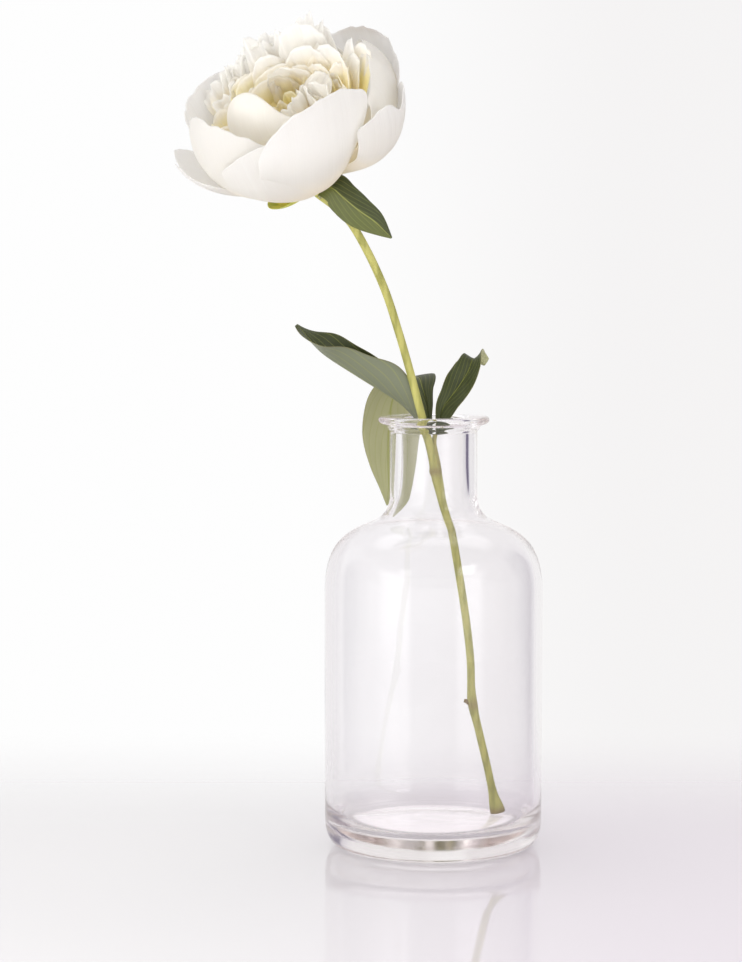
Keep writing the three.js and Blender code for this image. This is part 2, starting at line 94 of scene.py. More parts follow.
def bezier(points, count):
    # a line or a Bezier curve of any degree: neighbours are mixed over and over; the first point is left out
    t = np.linspace(0, 1, count + 1)[1:, None]
    p = np.repeat(np.asarray(points, float)[:, None, :], count, axis=1)
    while len(p) > 1:
        p = p[:-1] * (1 - t) + p[1:] * t
    return p[0]


def bells(s, rows):
    # a sum of bell curves, each given by its middle, its half width and its height
    return sum(height * np.exp(-(((s - middle) / width) ** 2)) for middle, width, height in rows)


def addObject(name, data):
    added = bpy.data.objects.new(name, data)
    bpy.context.scene.collection.objects.link(added)
    return added


def makePiece(name, vertices, faces, uv, fields, material, nodes):
    # one smooth mesh at the origin that rides on the root body and stands for CAD nodes
    mesh = bpy.data.meshes.new(name)
    mesh.from_pydata((np.asarray(vertices) * mm).tolist(), [], faces)
    corners = np.zeros(len(mesh.loops), np.int32)
    mesh.loops.foreach_get("vertex_index", corners)
    layer = mesh.uv_layers.new(name="UVMap")
    layer.data.foreach_set("uv", np.asarray(uv, np.float32)[corners].ravel())
    for fieldName, values in fields.items():
        attribute = mesh.attributes.new(fieldName, "FLOAT", "POINT")
        attribute.data.foreach_set("value", np.asarray(values, np.float32))
    mesh.shade_smooth()
    mesh.materials.append(material)
    piece = addObject(name, mesh)
    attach(piece, "root")
    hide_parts(*nodes)
    print(f"{name}: {len(faces)} faces")


def sheetNormals(points):
    # unit normals of a grid of points: the cross product of its two directions
    du = np.gradient(points, axis=0)
    dv = np.gradient(points, axis=1)
    normals = np.cross(du, dv)
    return normals / np.maximum(np.linalg.norm(normals, axis=-1, keepdims=True), 1e-9)


def bladeFaces(rows, columns):
    # quads of a closed blade: front grid, back grid turned round, and a wall round the rim
    ids = np.arange(rows * columns).reshape(rows, columns)
    front = np.stack([ids[:-1, :-1], ids[1:, :-1], ids[1:, 1:], ids[:-1, 1:]], -1).reshape(-1, 4)
    back = front[:, ::-1] + rows * columns
    rim = np.concatenate([ids[:-1, 0], ids[-1, :-1], ids[:0:-1, -1], ids[0, :0:-1]])
    following = np.roll(rim, -1)
    wall = np.stack([rim, rim + rows * columns, following + rows * columns, following], -1)
    return np.concatenate([front, back, wall])


def bladeOf(points, thickness, edge):
    # both faces of a sheet, half its thickness each way along the normal, thinned to edge at its rim
    rows, columns = points.shape[:2]
    normals = sheetNormals(points)
    u = np.linspace(0, 1, rows)[:, None]
    v = np.linspace(-1, 1, columns)[None, :]
    inside = np.minimum(np.minimum(1 - u, u + 0.2), 1 - np.abs(v))
    half = 0.5 * mix(edge, thickness, smoothStep(0, 0.12, inside))[..., None]
    shift = normals * half
    return np.concatenate([(points + shift).reshape(-1, 3), (points - shift).reshape(-1, 3)])


def ringsOf(count, sides):
    # the numbers of the points ring by ring, and the quads between neighbouring rings
    ids = np.arange(count * sides).reshape(count, sides)
    around = np.roll(ids, -1, axis=1)
    return ids, np.stack([ids[:-1], around[:-1], around[1:], ids[1:]], -1).reshape(-1, 4).tolist()


def tubeOf(points, tangents, radii, sides):
    # rings round a line: radius times cosine and sine along two directions square to the tangent
    first = np.cross(tangents, [0.0, 1.0, 0.0])
    first /= np.linalg.norm(first, axis=1, keepdims=True)
    second = np.cross(tangents, first)
    angle = np.linspace(0, 2 * np.pi, sides, endpoint=False)
    rings = (
        points[:, None, :]
        + (radii * np.cos(angle))[..., None] * first[:, None, :]
        + (radii * np.sin(angle))[..., None] * second[:, None, :]
    )
    ids, walls = ringsOf(len(points), sides)
    return rings.reshape(-1, 3), walls + [ids[0, ::-1].tolist(), ids[-1].tolist()]


def latheOf(profile, segments):
    # a profile from axis to axis turned round Z, with a fan of triangles at each pole
    radius, height = profile[1:-1, :1], profile[1:-1, 1:]
    angle = np.linspace(0, 2 * np.pi, segments, endpoint=False)
    points = np.stack([radius * np.cos(angle), radius * np.sin(angle), height + 0 * angle], -1).reshape(-1, 3)
    ids, walls = ringsOf(len(profile) - 2, segments)
    low, high = len(points), len(points) + 1
    fans = [[low, b, a] for a, b in zip(ids[0].tolist(), np.roll(ids[0], -1).tolist())]
    fans += [[high, a, b] for a, b in zip(ids[-1].tolist(), np.roll(ids[-1], -1).tolist())]
    poles = [[0, 0, profile[0, 1]], [0, 0, profile[-1, 1]]]
    return np.vstack([points, poles]), walls + fans


def newMaterial(name):
    material = bpy.data.materials.new(name)
    material.use_nodes = True
    tree = material.node_tree
    return material, tree, tree.nodes["Principled BSDF"]


def feedAll(tree, node, values):
    # an input takes another node's output or a plain value
    for key, value in values.items():
        if isinstance(value, bpy.types.NodeSocket):
            tree.links.new(value, node.inputs[key])
        else:
            node.inputs[key].default_value = value


def made(tree, kind, inputs, output=0, **settings):
    # one output of a new node with these settings and inputs
    node = tree.nodes.new("ShaderNode" + kind)
    for name, value in settings.items():
        setattr(node, name, value)
    feedAll(tree, node, inputs)
    return node.outputs[output]


def field(tree, name):
    return made(tree, "Attribute", {}, "Fac", attribute_name=name)


def maths(tree, operation, a, b=0.0, c=0.0):
    return made(tree, "Math", {0: a, 1: b, 2: c}, operation=operation)


def times(tree, a, b):
    return maths(tree, "MULTIPLY", a, b)


def minus(tree, a, b):
    return maths(tree, "SUBTRACT", a, b)


def larger(tree, a, b):
    return maths(tree, "MAXIMUM", a, b)


def smoothRange(tree, value, low, high):
    # 0 below low, 1 above high, smooth between them
    inputs = {"Value": value, "From Min": low, "From Max": high}
    return made(tree, "MapRange", inputs, interpolation_type="SMOOTHSTEP")


def windowOf(tree, value, centre, half, soft):
    # 1 within half of centre, falling smoothly to 0 over soft
    away = maths(tree, "ABSOLUTE", minus(tree, value, centre))
    return minus(tree, 1.0, smoothRange(tree, away, half, half + soft))


def ramp(tree, source, stops):
    node = tree.nodes.new("ShaderNodeValToRGB")
    node.color_ramp.interpolation = "EASE"
    elements = node.color_ramp.elements
    while len(elements) < len(stops):
        elements.new(0.5)
    for element, (place, colour) in zip(elements, stops):
        element.position = place
        element.color = colour
    feedAll(tree, node, {"Fac": source})
    return node.outputs["Color"]


def blendColours(tree, factor, a, b, kind="MIX"):
    return made(tree, "Mix", {0: factor, 6: a, 7: b}, 2, data_type="RGBA", blend_type=kind)


def noise(tree, coordinates, scale, detail, stretch=(1, 1, 1)):
    stretched = made(tree, "Mapping", {"Scale": stretch, "Vector": coordinates})
    return made(tree, "TexNoise", {"Scale": scale, "Detail": detail, "Vector": stretched}, "Fac")


def bump(tree, shader, height, strength, distance):
    normal = made(tree, "Bump", {"Strength": strength, "Distance": distance * mm, "Height": height})
    feedAll(tree, shader, {"Normal": normal})
    return normal


def uvOf(tree):
    return made(tree, "TexCoord", {}, "UV")


def objectOf(tree):
    return made(tree, "TexCoord", {}, "Object")


def xyzOf(tree, source):
    node = tree.nodes.new("ShaderNodeSeparateXYZ")
    feedAll(tree, node, {0: source})
    return tuple(node.outputs)


def distanceFrom(tree, centre):
    # how far a surface point is from a centre
    inputs = {0: objectOf(tree), 1: [c * mm for c in centre]}
    return made(tree, "VectorMath", inputs, "Value", operation="DISTANCE")


def showMix(tree, share, shader, other):
    # the surface is the main shader and, by share, the other one's light
    mixed = made(tree, "MixShader", {0: share, 1: shader.outputs[0], 2: other})
    feedAll(tree, tree.nodes["Material Output"], {"Surface": mixed})


def throughLit(tree, shader, colour, normal, share):
    # a thin leaf or petal: part of the light that falls on one side comes out of the other
    showMix(tree, share, shader, made(tree, "BsdfTranslucent", {"Color": colour, "Normal": normal}))


# in the looks below a noise is its scale, detail and stretch, and a relief its strength and its depth
petalLook = {
    "deep": srgb(255, 250, 206),  # at the root
    "warm": srgb(255, 252, 231),
    "cream": srgb(254, 252, 245),
    "pale": srgb(252, 252, 250),  # most of an inner petal
    "outer": srgb(247, 247, 245),  # most of an outer petal
    "outerEdge": srgb(243, 243, 242),
    "greyRim": srgb(222, 215, 211),  # a greyer, pinker rim, reached by the outer petals given a tone
    "vein": srgb(240, 236, 232),
    "veinShare": 0.5,
    "fineNoise": (9.0, 3.0, (0.16, 9.0, 1)),
    "broadNoise": (3.0, 2.0, (0.5, 2.4, 1)),
    "fineHeight": 0.35,
    "relief": (0.35, 0.7),
    "roughness": 0.6,
    "specular": 0.28,
    "sheen": 0.12,
    "sheenRoughness": 0.45,
    "translucence": 0.6,
    "innerTranslucence": 0.58,
}


def petalMaterial(name, stops, translucence):
    # colour runs from root to rim by the field reach, with fine lengthwise veins from stretched noise
    material, tree, shader = newMaterial(name)
    look = petalLook
    body = ramp(tree, field(tree, "reach"), stops)
    fine = noise(tree, uvOf(tree), *look["fineNoise"])
    broad = noise(tree, uvOf(tree), *look["broadNoise"])
    lines = times(tree, maths(tree, "SMOOTH_MIN", fine, 1.0, 0.1), look["veinShare"])
    veined = blendColours(tree, lines, body, blendColours(tree, 1.0, body, look["vein"], "MULTIPLY"))
    feedAll(tree, shader, {
        "Base Color": veined, "Roughness": look["roughness"], "Specular IOR Level": look["specular"],
        "Sheen Weight": look["sheen"], "Sheen Roughness": look["sheenRoughness"],
    })
    height = maths(tree, "ADD", times(tree, fine, look["fineHeight"]), broad)
    throughLit(tree, shader, veined, bump(tree, shader, height, *look["relief"]), translucence)
    return material


leafLook = {
    "upper": srgb(52, 58, 34),
    "upperLight": srgb(80, 88, 50),
    "upperPaleHalf": srgb(136, 144, 82),
    "under": srgb(172, 173, 127),
    "underLight": srgb(188, 187, 146),
    # painted shade for an underside that lies in shade
    "underPaintedShade": srgb(112, 118, 98),
    "cloudNoise": (5.0, 4.0, (1, 1.6, 1)),
    "vein": srgb(158, 162, 84),
    "veinSlant": 0.7,
    "veinRows": 5.5,
    "veinSharpness": 11.0,
    "veinShare": 0.38,
    "midribSharpness": 22.0,
    "margin": srgb(120, 112, 66),
    "marginStart": 0.955,  # share of the half width
    "marginSharpness": 12.0,
    "grainNoise": (42.0, 3.0, (1, 2.2, 1)),
    "grainHeight": 0.25,
    "relief": (0.5, 0.25),
    "roughness": 0.42,
    "specular": 0.4,
    "translucence": 0.16,
}


def leafMaterial():
    # two faces by the field upper; veins where the distance from the midrib or a side vein is small
    material, tree, shader = newMaterial("leafGreen")
    look = leafLook
    uv = uvOf(tree)
    length, width, _ = xyzOf(tree, uv)
    across = times(tree, maths(tree, "ABSOLUTE", minus(tree, width, 0.5)), 2.0)
    cloud = noise(tree, uv, *look["cloudNoise"])
    upper = blendColours(tree, cloud, look["upper"], look["upperLight"])
    upper = blendColours(tree, field(tree, "paleHalves"), upper, look["upperPaleHalf"])
    under = blendColours(tree, cloud, look["under"], look["underLight"])
    # painted shade: an underside that lies in shade is darkened and greyed
    under = blendColours(tree, field(tree, "paintedShade"), under, look["underPaintedShade"])
    body = blendColours(tree, field(tree, "upper"), under, upper)
    # side veins leave the midrib at a slant: rows of equal length minus the slant times the way across
    slant = minus(tree, length, times(tree, across, look["veinSlant"]))
    row = maths(tree, "PINGPONG", times(tree, slant, look["veinRows"]), 0.5)
    sideVein = larger(tree, minus(tree, 1.0, times(tree, row, look["veinSharpness"])), 0.0)
    midrib = larger(tree, minus(tree, 1.0, times(tree, across, look["midribSharpness"])), 0.0)
    veins = larger(tree, times(tree, sideVein, look["veinShare"]), midrib)
    veined = blendColours(tree, veins, body, look["vein"])
    margin = times(tree, minus(tree, across, look["marginStart"]), look["marginSharpness"])
    coloured = blendColours(tree, larger(tree, margin, 0.0), veined, look["margin"])
    feedAll(tree, shader, {
        "Base Color": coloured, "Roughness": look["roughness"], "Specular IOR Level": look["specular"],
    })
    height = minus(tree, times(tree, noise(tree, uv, *look["grainNoise"]), look["grainHeight"]), veins)
    throughLit(tree, shader, coloured, bump(tree, shader, height, *look["relief"]), look["translucence"])
    return material


stemLook = {
    "skin": srgb(178, 174, 98),
    "skinDark": srgb(146, 144, 72),
    "skinStops": (0.32, 0.62),
    "scar": srgb(120, 96, 64),
    "streakNoise": (420.0, 4.0, (1, 1, 0.07)),
    "relief": (0.35, 0.4),
    "roughness": 0.48,
    "subsurface": 0.12,
    "subsurfaceRadius": (0.0012, 0.001, 0.0004),
}


def stemMaterial():
    # olive skin streaked lengthwise, browner where the field scar is high
    material, tree, shader = newMaterial("stemOlive")
    look = stemLook
    streaks = noise(tree, objectOf(tree), *look["streakNoise"])
    skin = ramp(tree, streaks, list(zip(look["skinStops"], (look["skinDark"], look["skin"]))))
    coloured = blendColours(tree, field(tree, "scar"), skin, look["scar"])
    feedAll(tree, shader, {
        "Base Color": coloured, "Roughness": look["roughness"],
        "Subsurface Weight": look["subsurface"], "Subsurface Radius": look["subsurfaceRadius"],
    })
    bump(tree, shader, streaks, *look["relief"])
    return material


calyxLook = {
    "yellow": srgb(232, 228, 120),
    "green": srgb(178, 190, 80),
    "bodyStops": (0.4, 0.58),
    "edge": srgb(232, 226, 140),
    "edgePower": 4.0,
    "patchNoise": (90.0, 3.0),
    "lineNoise": (8.0, 2.0, (0.2, 8, 1)),
    "relief": (0.3, 0.3),
    "roughness": 0.5,
    "translucence": 0.4,
}


def calyxMaterial():
    # green and yellow in soft patches, paler at the rims by a power of the field reach
    material, tree, shader = newMaterial("calyxGreen")
    look = calyxLook
    patched = noise(tree, objectOf(tree), *look["patchNoise"])
    body = ramp(tree, patched, list(zip(look["bodyStops"], (look["green"], look["yellow"]))))
    rim = maths(tree, "POWER", field(tree, "reach"), look["edgePower"])
    coloured = blendColours(tree, rim, body, look["edge"])
    feedAll(tree, shader, {"Base Color": coloured, "Roughness": look["roughness"]})
    normal = bump(tree, shader, noise(tree, uvOf(tree), *look["lineNoise"]), *look["relief"])
    throughLit(tree, shader, coloured, normal, look["translucence"])
    return material


glassLook = {
    "tint": srgb(252, 251, 252),
    "ior": 1.5,
    "footRoughness": 0.12,  # up to footHeight, fading out over footFade
    "footHeight": 7.0,
    "footFade": 3.0,
    "depthTint": (0.75, 0.66, 0.62, 1),  # thick glass looks a little brown
    "depthDensity": 3.0,
    "ripple": 0.05,
    "rippleNoise": (26.0, 1.0, (1, 1, 0.6)),
    "swirl": 0.22,  # the thick base is less even
    "swirlNoise": (48.0, 1.0, (1, 1, 2)),
    "swirlHeight": 16.0,
}


def glassMaterial():
    # clear glass that lets the light of lamps through to what stands inside it
    material, tree, shader = newMaterial("clearGlass")
    look = glassLook
    ripple = times(tree, noise(tree, objectOf(tree), *look["rippleNoise"]), look["ripple"])
    swirl = times(tree, noise(tree, objectOf(tree), *look["swirlNoise"]), look["swirl"])
    height = xyzOf(tree, objectOf(tree))[2]
    low = windowOf(tree, height, 0, 0.5 * look["swirlHeight"] * mm, look["swirlHeight"] * mm)
    worn = windowOf(tree, height, 0, look["footHeight"] * mm, look["footFade"] * mm)
    feedAll(tree, shader, {
        "Base Color": look["tint"], "Transmission Weight": 1.0, "IOR": look["ior"],
        "Roughness": times(tree, worn, look["footRoughness"]),
    })
    bump(tree, shader, maths(tree, "MULTIPLY_ADD", swirl, low, ripple), 1.0, 1.0)
    shadow = made(tree, "LightPath", {}, "Is Shadow Ray")
    showMix(tree, shadow, shader, made(tree, "BsdfTransparent", {}))
    depth = made(tree, "VolumeAbsorption", {"Color": look["depthTint"], "Density": look["depthDensity"]})
    feedAll(tree, tree.nodes["Material Output"], {"Volume": depth})
    return material


vase = {
    "height": 200.5,
    "bodyRadius": 50.6,
    "wall": 3.3,
    "floorThickness": 10.5,
    "footRadius": 41.5,
    "footCorner": 13.0,
    "shoulderStart": 118.0,
    "neckRadius": 20.2,
    "neckStart": 161.0,
    "boreRadius": 15.0,
    "lipRadius": 25.7,
    "lipHeight": 3.4,
    "segments": 176,
    "curveSteps": 16,
}


def vaseProfile(b):
    # half outline from the middle of the underside, up the outside, over the lip and down the inside; each
    # stretch is a number of steps, then the points of a straight line or a Bezier curve from the last point
    n = b["curveSteps"]
    body, foot, neck = b["bodyRadius"], b["footRadius"], b["neckRadius"]
    bore, lip, top = b["boreRadius"], b["lipRadius"], b["height"]
    shoulder, rise, floor = b["shoulderStart"], b["neckStart"], b["floorThickness"]
    inner = body - b["wall"]
    collar = top - b["lipHeight"]  # where the small collar under the lip ends
    stretches = [
        (6, (foot, 0)),
        (n, (foot + 5.5, 0), (body, 4.5), (body, b["footCorner"])),
        (12, (body, shoulder)),
        (n, (body, shoulder + 18), (body - 5, shoulder + 25), (body - 14, shoulder + 30)),
        (n, (neck + 9, rise - 9.2), (neck, rise - 8), (neck, rise + 3)),
        (6, (neck, collar - 4)),
        (6, (neck, collar - 3.2), (neck + 1.2, collar - 3.2), (neck + 1.2, collar - 1.6)),
        (n, (neck + 2, collar - 0.2), (lip, collar - 0.6), (lip, collar + 1.7)),
        (n, (lip, top - 0.4), (lip - 1, top), (lip - 2.2, top)),
        (4, (bore + 2.2, top)),
        (8, (bore, top), (bore, top - 2.4)),
        (6, (bore, rise + 21)),
        (n, (bore, rise + 7), (bore + 1.4, rise - 1), (bore + 5.6, rise - 5.8)),
        (n, (bore + 9, rise - 9.6), (inner - 18.5, shoulder + 31.6), (inner - 13, shoulder + 28.8)),
        (n, (inner - 4.4, shoulder + 23.6), (inner, shoulder + 17), (inner, shoulder)),
        (12, (inner, floor + 12)),
        (n, (inner, floor + 4), (inner - 4, floor), (foot - 4, floor)),
        (6, (0, floor)),
    ]
    outline = [(0, 0)]
    for count, *points in stretches:
        outline = np.vstack([outline, bezier([outline[-1], *points], count)])
    return outline


def makeVase():
    # the profile turned round; UV is the share of the way round and the share of the height
    points, faces = latheOf(vaseProfile(vase), vase["segments"])
    uv = np.stack([np.arctan2(points[:, 1], points[:, 0]) / (2 * np.pi), points[:, 2] / vase["height"]], -1)
    makePiece("vase_glass", points, faces, uv, {}, glassMaterial(), ["vase"])


stem = {
    "radius": 1.8,
    "grid": (260, 28),  # rings along it and points round it
    "branchGrid": (24, 16),
    "uvSpan": (300, 50),  # how far up and across the pattern runs
    "line": [
        [31.5, 14.8, 12], [29.3, 13.8, 20], [25.9, 11.3, 35], [21.9, 8.2, 51.5], [18.4, 5.2, 67],
        [17.4, 2.6, 86.5], [15.2, 0.2, 105.5], [12.2, -2.2, 124.5], [8.6, -4.4, 143.5], [4.1, -6.4, 160.7],
        [1, -8, 174], [-2.6, -10.6, 190], [-5.9, -12.2, 201.7], [-11.4, -14, 222.4], [-16.7, -16.8, 240.7],
        [-22.7, -20, 259], [-30.9, -23.8, 277], [-38.4, -26.5, 289.6], [-44.5, -28, 295.9],
        [-53, -29.6, 302.3],
    ],
    # bell curves along it, from its foot: the heel, the lower node, the upper node and the ring above it
    "swells": [(0, 8, 1.8), (56, 6, 0.5), (166, 7, 0.6), (169, 1.3, 0.5)],
    "browned": [(169, 2.2, 0.6), (0, 3, 0.8), (56, 3, 0.45)],
    # the leaf scar and the petiole: their lines, first and last radius, and how brown they are
    "branches": [
        ([[18.4, 5.2, 65.4], [16, 5.2, 66.6], [14.6, 5.1, 67]], 1.7, 0.8, 0.85),
        (
            [[1.6, -8.2, 171], [1.9, -8.6, 177], [0.7, -9.4, 184], [-0.1, -9.2, 189], [0.6, -7, 194]],
            1.3, 1.0, 0.35,
        ),
    ],
}


def makeStem():
    # a tube whose radius is its own plus the swells, times one plus small cosines of the way round, with a
    # tapering tube for each branch
    rows, sides = stem["grid"]
    t = np.linspace(0, 1, rows)
    points, tangents, length = curveThrough(stem["line"], t)
    s = t * length
    angle = np.linspace(0, 2 * np.pi, sides, endpoint=False)
    ribs = 1 + 0.025 * np.cos(5 * angle[None, :] + 0.02 * s[:, None]) + 0.03 * np.cos(2 * angle[None, :] + 1)
    radii = (stem["radius"] + bells(s, stem["swells"]))[:, None] * ribs
    body, faces = tubeOf(points, tangents, radii, sides)
    parts, scars = [body], [np.repeat(bells(s, stem["browned"]), sides)]
    rows, sides = stem["branchGrid"]
    t = np.linspace(0, 1, rows)
    for line, start, end, brown in stem["branches"]:
        points, tangents, _ = curveThrough(line, t)
        radii = np.repeat(mix(start, end, t)[:, None], sides, axis=1)
        tube, tubeFaces = tubeOf(points, tangents, radii, sides)
        offset = sum(len(part) for part in parts)
        faces += [[k + offset for k in face] for face in tubeFaces]
        parts.append(tube)
        scars.append(np.full(len(tube), brown))
    vertices = np.vstack(parts)
    uv = vertices[:, [2, 0]] / stem["uvSpan"]
    fields = {"scar": np.concatenate(scars)}
    makePiece("stem_skin", vertices, faces, uv, fields, stemMaterial(), ["stem"])


leafShape = {"rows": 110, "columns": 61, "thickness": 0.45, "edge": 0.22, "rib": 0.35, "wave": 0.35}

leaves = {
    "leaf_upper": {
        "rib": [
            [-50.6, -32.6, 301], [-50, -37.6, 304.6], [-46.2, -41.6, 304.4], [-41.3, -43.5, 300.3],
            [-34.6, -44.5, 294.8], [-27.2, -43.5, 289.6], [-19.8, -41, 282.4],
        ],
        "sides": [[0.6, -0.13, 0.6], [0.64, -0.15, 0.74], [0.46, -0.08, 0.84]],
        "fold": [14, 18, 22],
        "curl": [8, 4, 3],
        "left": [1.8, 6.2, 9.2, 9, 7.4, 0.4],
        "right": [6, 8.2, 7.2, 6.8, 5, 0.4],
        "upperSide": -1,
        "paleHalves": (0.35, 0),  # how much lighter its left and right halves are
    },
    "leaflet_right": {
        "rib": [
            [1.5, -6, 194.2], [4.3, -2, 204.5], [8.3, 1, 209.8], [12.6, 5, 215.3],
            [16.2, 8.5, 221], [18.6, 12, 226.2], [21.5, 16.5, 225.3], [24.3, 18, 223.2],
        ],
        "sides": [[0.78, -0.02, -0.47], [0.78, -0.14, -0.3], [0.82, -0.17, 0.36]],
        "fold": [15, 19, 18],
        "curl": [27, 38, 37],
        "left": [0.8, 3.4, 6.2, 8.7, 7.4, 5.2, 1],
        "right": [1.2, 7, 7.5, 9.3, 7.5, 6.6, 3.6],
        "upperSide": 1,
    },
    "leaflet_left": {
        "rib": [
            [0.6, -5.6, 195.6], [-3.4, -4.9, 197.6], [-8, -5.4, 199.6], [-11.8, -5.5, 203.4],
            [-16.4, -6, 207.5], [-23.3, -7.5, 212], [-35.6, -11, 219.8], [-50.7, -14, 229.8], [-56, -15, 235],
            [-62.7, -15, 243.3],
        ],
        "sides": [[0.3, 0.85, 0.4], [0.08, 0.95, 0.2], [0.1, 0.95, 0.15], [0.6, 0.8, -0.12]],
        "fold": [10, 44, 48, 0],
        "curl": [76, 84, 70, -20],
        "left": [1, 8, 16.5, 13, 11, 10.5, 2],
        "right": [1, 3, 12, 11.5, 12, 12.5, 0.5],
        "upperSide": 1,
        "paintedShade": 0.9,  # how much painted shade darkens and greys its underside
    },
    "leaflet_back": {
        "rib": [
            [0.9, -5, 195], [-2, -4, 198.5], [-3.1, 0, 206.3], [-5.1, 4, 213.1], [-7, 10, 217.8],
            [-13.5, 21, 215.7], [-18.5, 27.5, 207.9], [-20.7, 29.5, 193.6], [-21, 29.5, 177.8],
            [-20.8, 29, 166.8], [-21.4, 28.5, 156.3],
        ],
        "sides": [[0.92, 0.26, 0.12], [0.8, 0.44, 0.06], [0.96, 0.19, 0.05]],
        "fold": [17, 1, 4],
        "curl": [-14, -13, -4],
        "left": [1, 7, 12.4, 13.1, 14.4, 9, 0.3],
        "right": [1, 2.6, 12, 13.2, 12.7, 10.2, 0.3],
        "upperSide": 1,
    },
}


def leafSheet(leaf, rows, columns):
    # midrib plus, each side, the half width times the cosine and sine of how far that half is lifted
    t = np.linspace(0, 1, rows)
    u, v = t[:, None], np.linspace(-1, 1, columns)[None, :]
    rib, tangent, _ = curveThrough(leaf["rib"], t)
    side = np.stack([along(axis, t) for axis in zip(*leaf["sides"])], -1)
    side -= np.sum(side * tangent, -1, keepdims=True) * tangent
    side /= np.linalg.norm(side, axis=-1, keepdims=True)
    normal = np.cross(side, tangent)
    left, right = along(leaf["left"], u), along(leaf["right"], u)
    reach = np.abs(v) * np.where(v > 0, right, left)
    lift = np.radians(along(leaf["fold"], u) + 0.5 * np.abs(v) * along(leaf["curl"], u))
    wave = leafShape["wave"] * np.abs(v) ** 3 * np.sin(23 * u + 2 * v) * np.sin(np.pi * u)
    groove = -leaf["upperSide"] * leafShape["rib"] * np.exp(-((v * 9) ** 2)) * (1 - u)
    up = reach * np.sin(lift) + wave + groove
    out = np.sign(v) * reach * np.cos(lift)
    return rib[:, None, :] + out[..., None] * side[:, None, :] + up[..., None] * normal[:, None, :]


def makeLeaves():
    # one blade for each leaf; upper colours its two faces, one half of a leaf may be paler, and an underside
    # may be darkened by painted shade
    material = leafMaterial()
    rows, columns = leafShape["rows"], leafShape["columns"]
    faces = bladeFaces(rows, columns).tolist()
    grid = np.stack(np.meshgrid(np.linspace(0, 1, rows), np.linspace(0, 1, columns), indexing="ij"), -1)
    uv = np.tile(grid.reshape(-1, 2), (2, 1))
    rightward = smoothStep(0.42, 0.58, grid[..., 1])
    for name, leaf in leaves.items():
        points = bladeOf(leafSheet(leaf, rows, columns), leafShape["thickness"], leafShape["edge"])
        front = 1.0 if leaf["upperSide"] < 0 else 0.0
        left, right = leaf.get("paleHalves", (0, 0))
        fields = {
            "upper": np.repeat([front, 1 - front], rows * columns),
            "paleHalves": np.tile(mix(left, right, rightward).ravel(), 2),
            "paintedShade": np.full(len(points), leaf.get("paintedShade", 0.0)),
        }
        makePiece(name + "_blade", points, faces, uv, fields, material, [name])


bloom = {
    "base": [-55.3, -32.9, 308.3],
    "axis": [-0.34, -0.43, 0.85],
    "rimShare": 0.4,  # how thick a petal's rim is, to the rest of it
    "uvStep": (3.7, 1.3),  # how far the vein pattern moves on from petal to petal
    "uvWidth": 25,
}


def bloomDirections(axis):
    # east points right, north back, and up along the bloom's axis
    up = np.array(axis) / np.linalg.norm(axis)
    east = np.array([1.0, 0, 0]) - up * up[0]
    east /= np.linalg.norm(east)
    return east, np.cross(up, east), up


east, north, outward = bloomDirections(bloom["axis"])

# what holds where a petal doesn't say; lengths in millimetres, turns in degrees, the rest in shares
petalDefaults = {
    "root": 5, "lift": 0, "sideTop": 0.6, "rootWidth": 0.22, "widest": 0.66, "notch": 0, "notchAt": 0,
    "notchWidth": 0.2, "ruffle": 0, "waves": 2, "phase": 0, "twist": 0, "side": 0, "yaw": 0, "jag": 0,
    "tone": 0, "slim": (1, 1), "crumple": 0, "frill": 0,
}


def petalOf(turn, length, halfWidth, tilts, cups, **more):
    # a petal by the way it points, its size, how far it leans out from root to tip, and how far it is cupped
    return {"turn": turn, "length": length, "halfWidth": halfWidth, "tilts": tilts, "cups": cups, **more}


def petalGrid(p, rows, columns):
    # u from root to rim, v from side to side, and a, the share of the length: u times the crown curve, less
    # a dip at the notch and small jags
    across = np.sin(np.linspace(-0.5, 0.5, columns) * np.pi)
    u, v = np.meshgrid(np.linspace(0, 1, rows), across, indexing="ij")
    crown = mix(p["sideTop"], 1, np.sqrt(np.maximum(0, 1 - v * v)))
    dip = p["notch"] * np.exp(-(((v - p["notchAt"]) / p["notchWidth"]) ** 2))
    jags = 0.5 * np.sin(7 * v + p["phase"]) + 0.3 * np.sin(15 * v + 2 * p["phase"]) + 0.2 * np.sin(31 * v + 3)
    return u, v, u * (crown - dip - p["jag"] * jags * smoothStep(0.5, 1, u))


def unevenness(p, u, v):
    # waves, creases and a frill, each a sum of sines from the petal's own phase, and stronger near the rim
    phase, swing = p["phase"], p["waves"] * np.pi * v
    waves = np.sin(swing + phase) + 0.5 * np.sin(2.3 * swing + 2 * phase + 1)
    waves = waves + 0.25 * np.sin(5.1 * swing + 3 * phase + 2 * u)
    creases = np.sin(3.4 * v + phase + 6 * u) + 0.6 * np.sin(5.6 * v + 2 * phase - 10 * u)
    creases = creases + 0.4 * np.sin(10 * v + 3 * phase + 14 * u)
    frill = np.sin(9 * v + 2.2 * phase) + 0.6 * np.sin(17 * v + phase)
    ruffled = p["ruffle"] * smoothStep(0.35, 1, u) * waves + p["crumple"] * smoothStep(0.45, 1, u) * creases
    return ruffled + p["frill"] * smoothStep(0.75, 1, u) * frill


